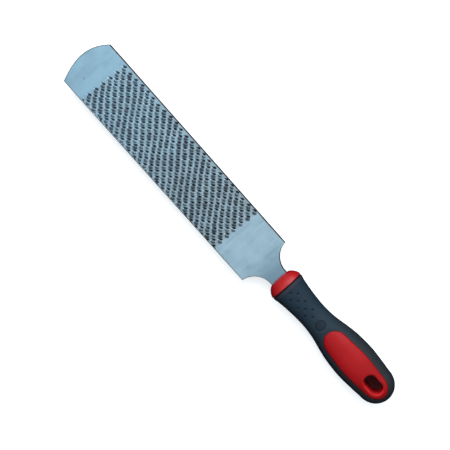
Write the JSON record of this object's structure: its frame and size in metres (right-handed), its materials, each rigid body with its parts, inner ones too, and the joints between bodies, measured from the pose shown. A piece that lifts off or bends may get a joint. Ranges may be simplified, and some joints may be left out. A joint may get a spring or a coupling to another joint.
{
  "type": "farrier rasp",
  "caption": "Flat steel hoof rasp with rows of raised teeth, a rounded tip, and a soft-grip handle with a hang hole.",
  "frame": {"origin": "middle of the tool's length and width, at the height of the surface that the handle's belly lies on", "axes": "+X along the tool to the rasp's rounded tip, +Y across the blade, +Z out of the toothed side"},
  "size_m": [0.346, 0.0444, 0.0276],
  "materials": {
    "rasp_steel": "bright ground steel with punched teeth",
    "red_plastic": "smooth satin moulded plastic",
    "soft_rubber": "matt soft-touch overmould"
  },
  "bodies": {
    "root": {"rasp_blade": "rasp_steel", "handle_core": "red_plastic", "soft_grip": "soft_rubber"}
  },
  "joints": []
}
